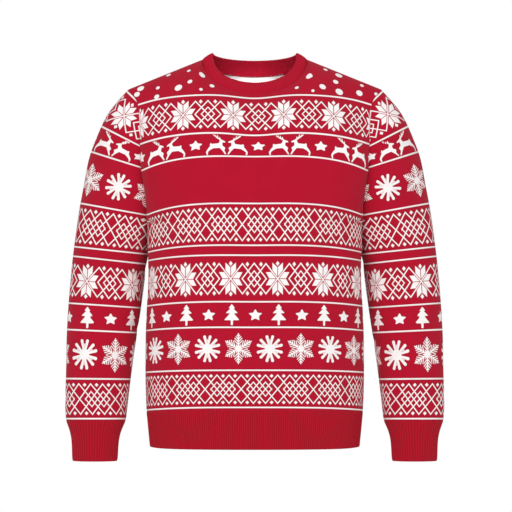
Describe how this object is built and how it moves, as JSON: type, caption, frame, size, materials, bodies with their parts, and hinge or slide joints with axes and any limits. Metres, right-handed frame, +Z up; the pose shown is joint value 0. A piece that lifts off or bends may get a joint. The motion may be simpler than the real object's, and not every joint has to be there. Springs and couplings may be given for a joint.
{
  "type": "crew-neck knitted jumper in a christmas pattern, long set-in sleeves, hollow as worn",
  "caption": "Crew-neck jumper with long set-in sleeves, ribbed neckband, cuffs and hem, knitted in a winter pattern, open and filled out as worn.",
  "frame": {"origin": "on the middle of the garment, mid-way between front and back, at the height where the shoulder seams meet the neckband", "axes": "+Z up, the front faces -Y, +X towards the wearer's left arm"},
  "size_m": [0.6632, 0.2426, 0.7136],
  "materials": {
    "knit_jacquard": "soft two-colour jacquard knit, red ground with off-white motifs",
    "knit_rib": "soft rib knit"
  },
  "bodies": {
    "root": {"front": "knit_jacquard", "back": "knit_jacquard", "sleeve_left": "knit_jacquard", "sleeve_right": "knit_jacquard", "neckband": "knit_rib", "hem_rib": "knit_rib", "cuff_left": "knit_rib", "cuff_right": "knit_rib"}
  },
  "joints": []
}
